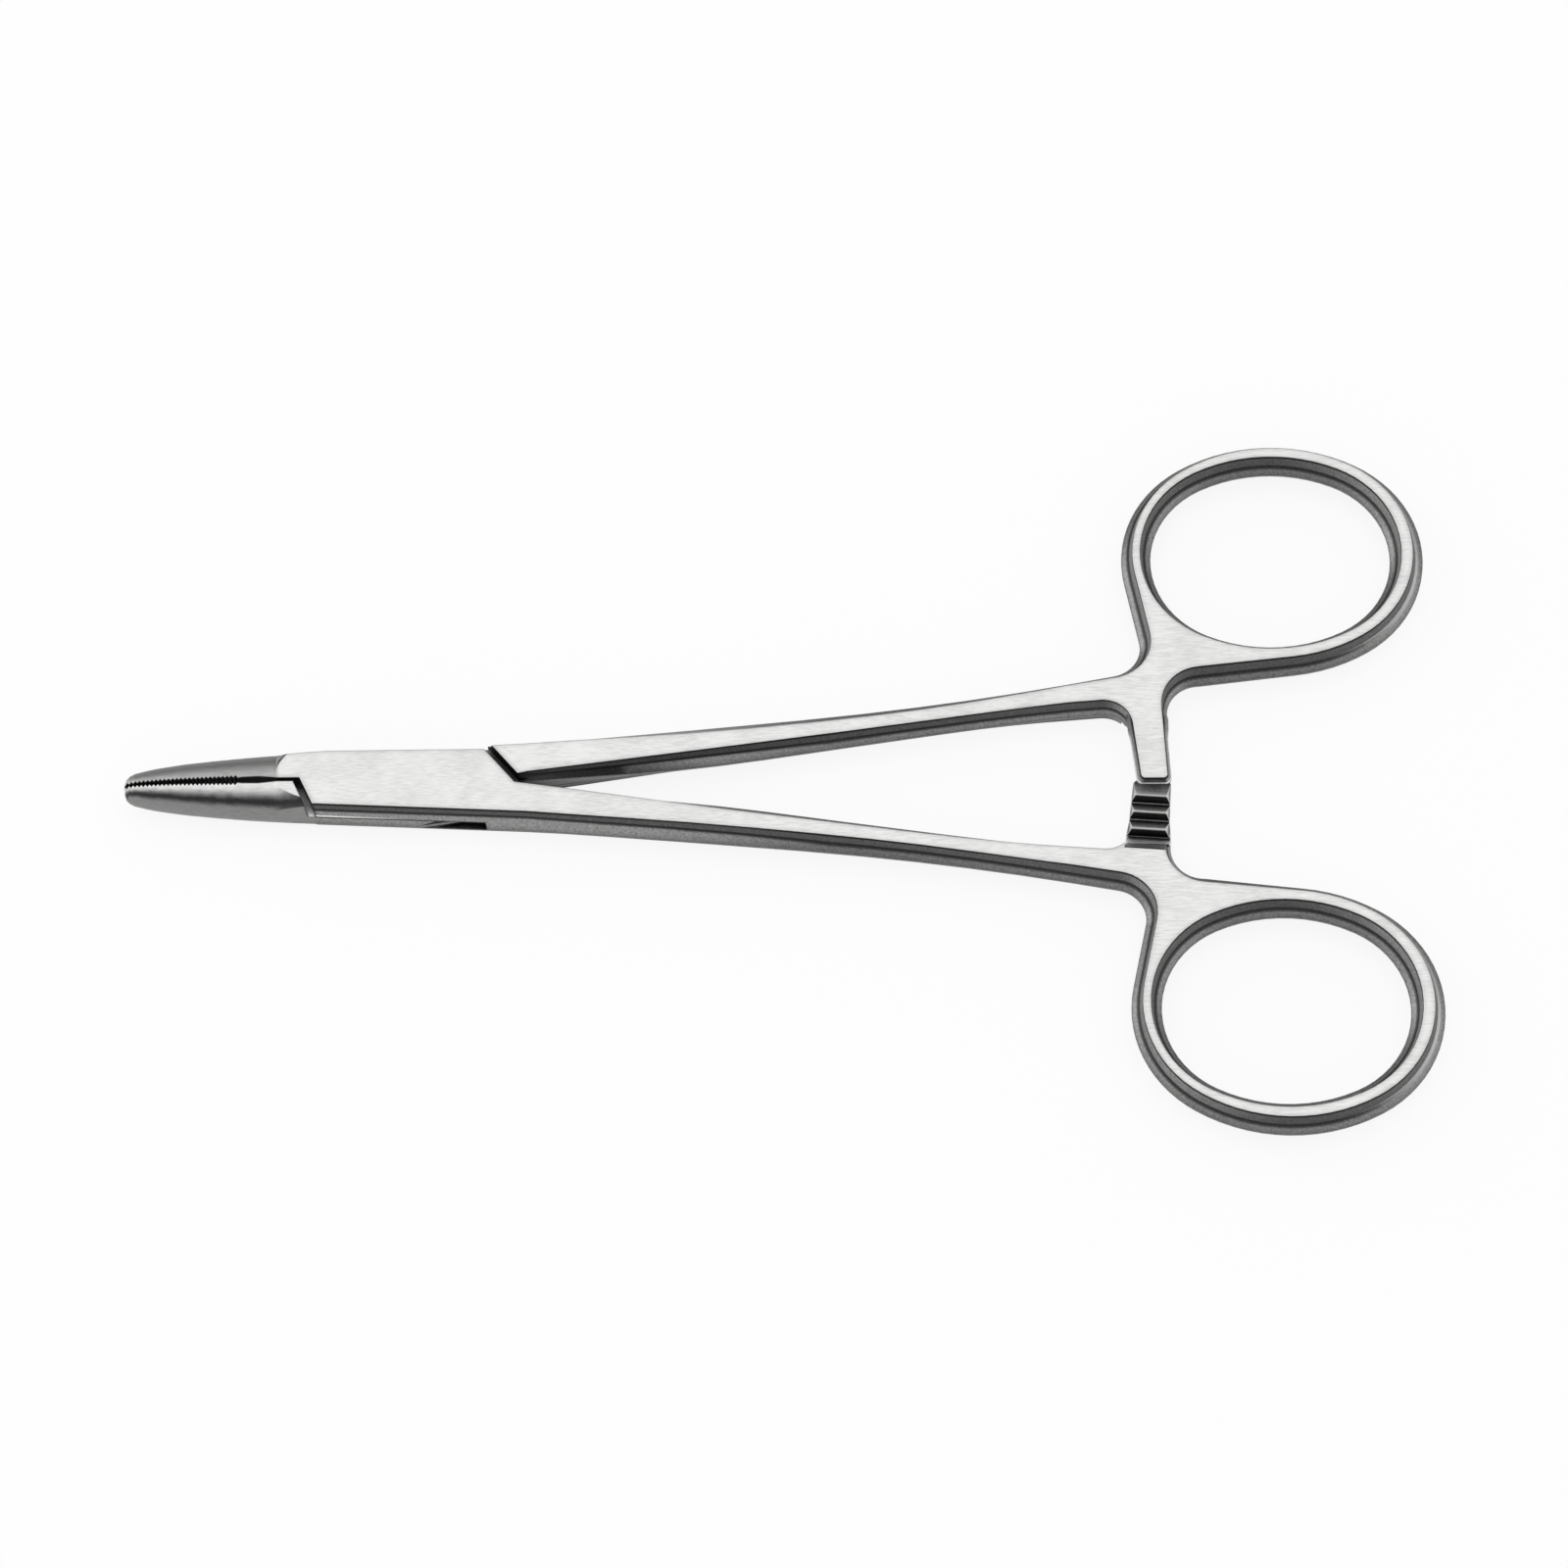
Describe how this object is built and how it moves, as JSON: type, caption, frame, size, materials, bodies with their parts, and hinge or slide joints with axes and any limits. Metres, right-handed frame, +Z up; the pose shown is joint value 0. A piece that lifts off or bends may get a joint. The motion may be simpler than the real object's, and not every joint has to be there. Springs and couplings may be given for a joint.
{
  "type": "surgical needle holder",
  "caption": "Ring-handled steel needle holder with short serrated jaws, a box lock and an interlocking ratchet between the shanks",
  "frame": {"origin": "on the pivot axis, in the plane of the underside of the box lock", "axes": "X along the instrument with the jaws at -X and the finger rings at +X, Y across it, Z up along the pivot axis"},
  "size_m": [0.1304, 0.0772, 0.0046],
  "materials": {
    "satin_steel": "satin-ground flats, polished bevels and bead-blasted side walls on forged martensitic stainless steel",
    "pin_steel": "riveted steel pin, ground flush with the box lock"
  },
  "bodies": {
    "box_body": {"box_lock_half": "satin_steel", "pivot_pin": "pin_steel"},
    "tongue_body": {"tongue_half": "satin_steel"}
  },
  "joints": [
    {"name": "box_lock_hinge", "type": "hinge", "parent": "box_body", "child": "tongue_body", "pos_m": [0, 0, 0.0023], "axis": [0, 0, 1], "range_deg": [0, 50]}
  ]
}
